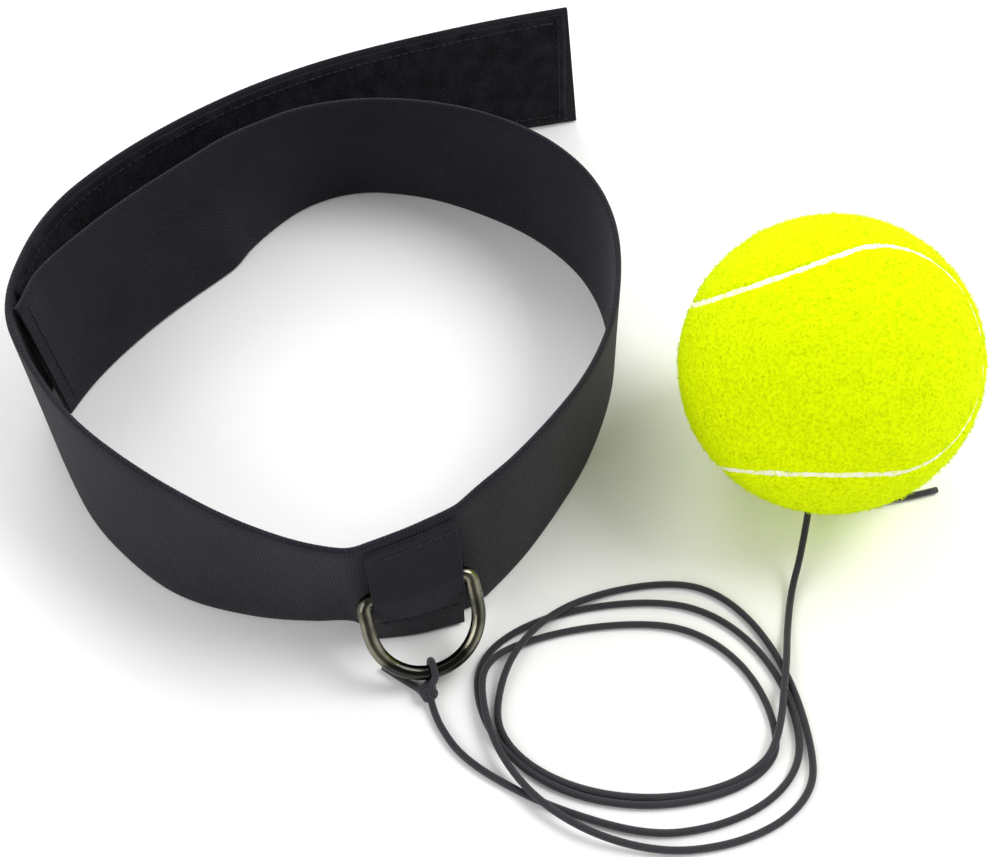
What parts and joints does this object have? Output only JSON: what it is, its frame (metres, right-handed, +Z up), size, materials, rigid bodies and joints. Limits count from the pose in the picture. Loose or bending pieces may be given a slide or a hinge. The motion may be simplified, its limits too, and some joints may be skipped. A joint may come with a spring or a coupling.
{
  "type": "reflex ball headband",
  "caption": "Elastic strap headband with hook-and-loop closure, a D-ring on a sewn tab and a felt ball on a thin elastic cord.",
  "frame": {"origin": "middle of the base of the strap, D-ring and ball, on the surface they stand on", "axes": "+Z up along the strap's width, +X from the strap toward the ball, +Y from the D-ring toward the back of the head loop"},
  "size_m": [0.2144, 0.2262, 0.065],
  "materials": {
    "strap_webbing": "ribbed elastic webbing",
    "hook_tape": "nylon hook tape",
    "loop_pile": "soft loop pile",
    "thread": "polyester thread",
    "ring_metal": "black nickel plate",
    "cord_braid": "braided elastic",
    "core_rubber": "moulded",
    "ball_felt": "napped felt",
    "seam_rubber": "cured adhesive"
  },
  "bodies": {
    "headband": {"strap_loop": "strap_webbing", "hook_tape": "hook_tape", "hook_stitching": "thread", "inner_end_stitching": "thread", "ring_tab": "strap_webbing", "tab_stitching": "thread", "cord_lead": "cord_braid", "cord_coil": "cord_braid", "ball_lead": "cord_braid"},
    "closure_tail": {"strap_tail": "strap_webbing", "loop_panel": "loop_pile", "loop_stitching": "thread", "tail_end_stitching": "thread"},
    "ring": {"d_ring": "ring_metal", "ring_knot": "cord_braid", "knot_tail": "cord_braid"},
    "ball": {"core_cup_lower": "core_rubber", "core_cup_upper": "core_rubber", "felt_panel_a": "ball_felt", "felt_panel_b": "ball_felt", "felt_seam": "seam_rubber", "ball_cord": "cord_braid"}
  },
  "joints": [
    {"name": "tail_peel", "type": "hinge", "parent": "headband", "child": "closure_tail", "pos_m": [-0.096, -0.03836, 0.0175], "axis": [0, 0, 1], "range_deg": [-1, 50]},
    {"name": "ring_swing", "type": "hinge", "parent": "headband", "child": "ring", "pos_m": [-0.01285, -0.08061, 0.0175], "axis": [-0.9397, -0.342, 0], "range_deg": [-20, 125]},
    {"name": "ball_twist", "type": "hinge", "parent": "headband", "child": "ball", "pos_m": [0.0749, -0.032, 0.0325], "axis": [-0.1072, -0.7446, -0.6588], "continuous": true}
  ]
}
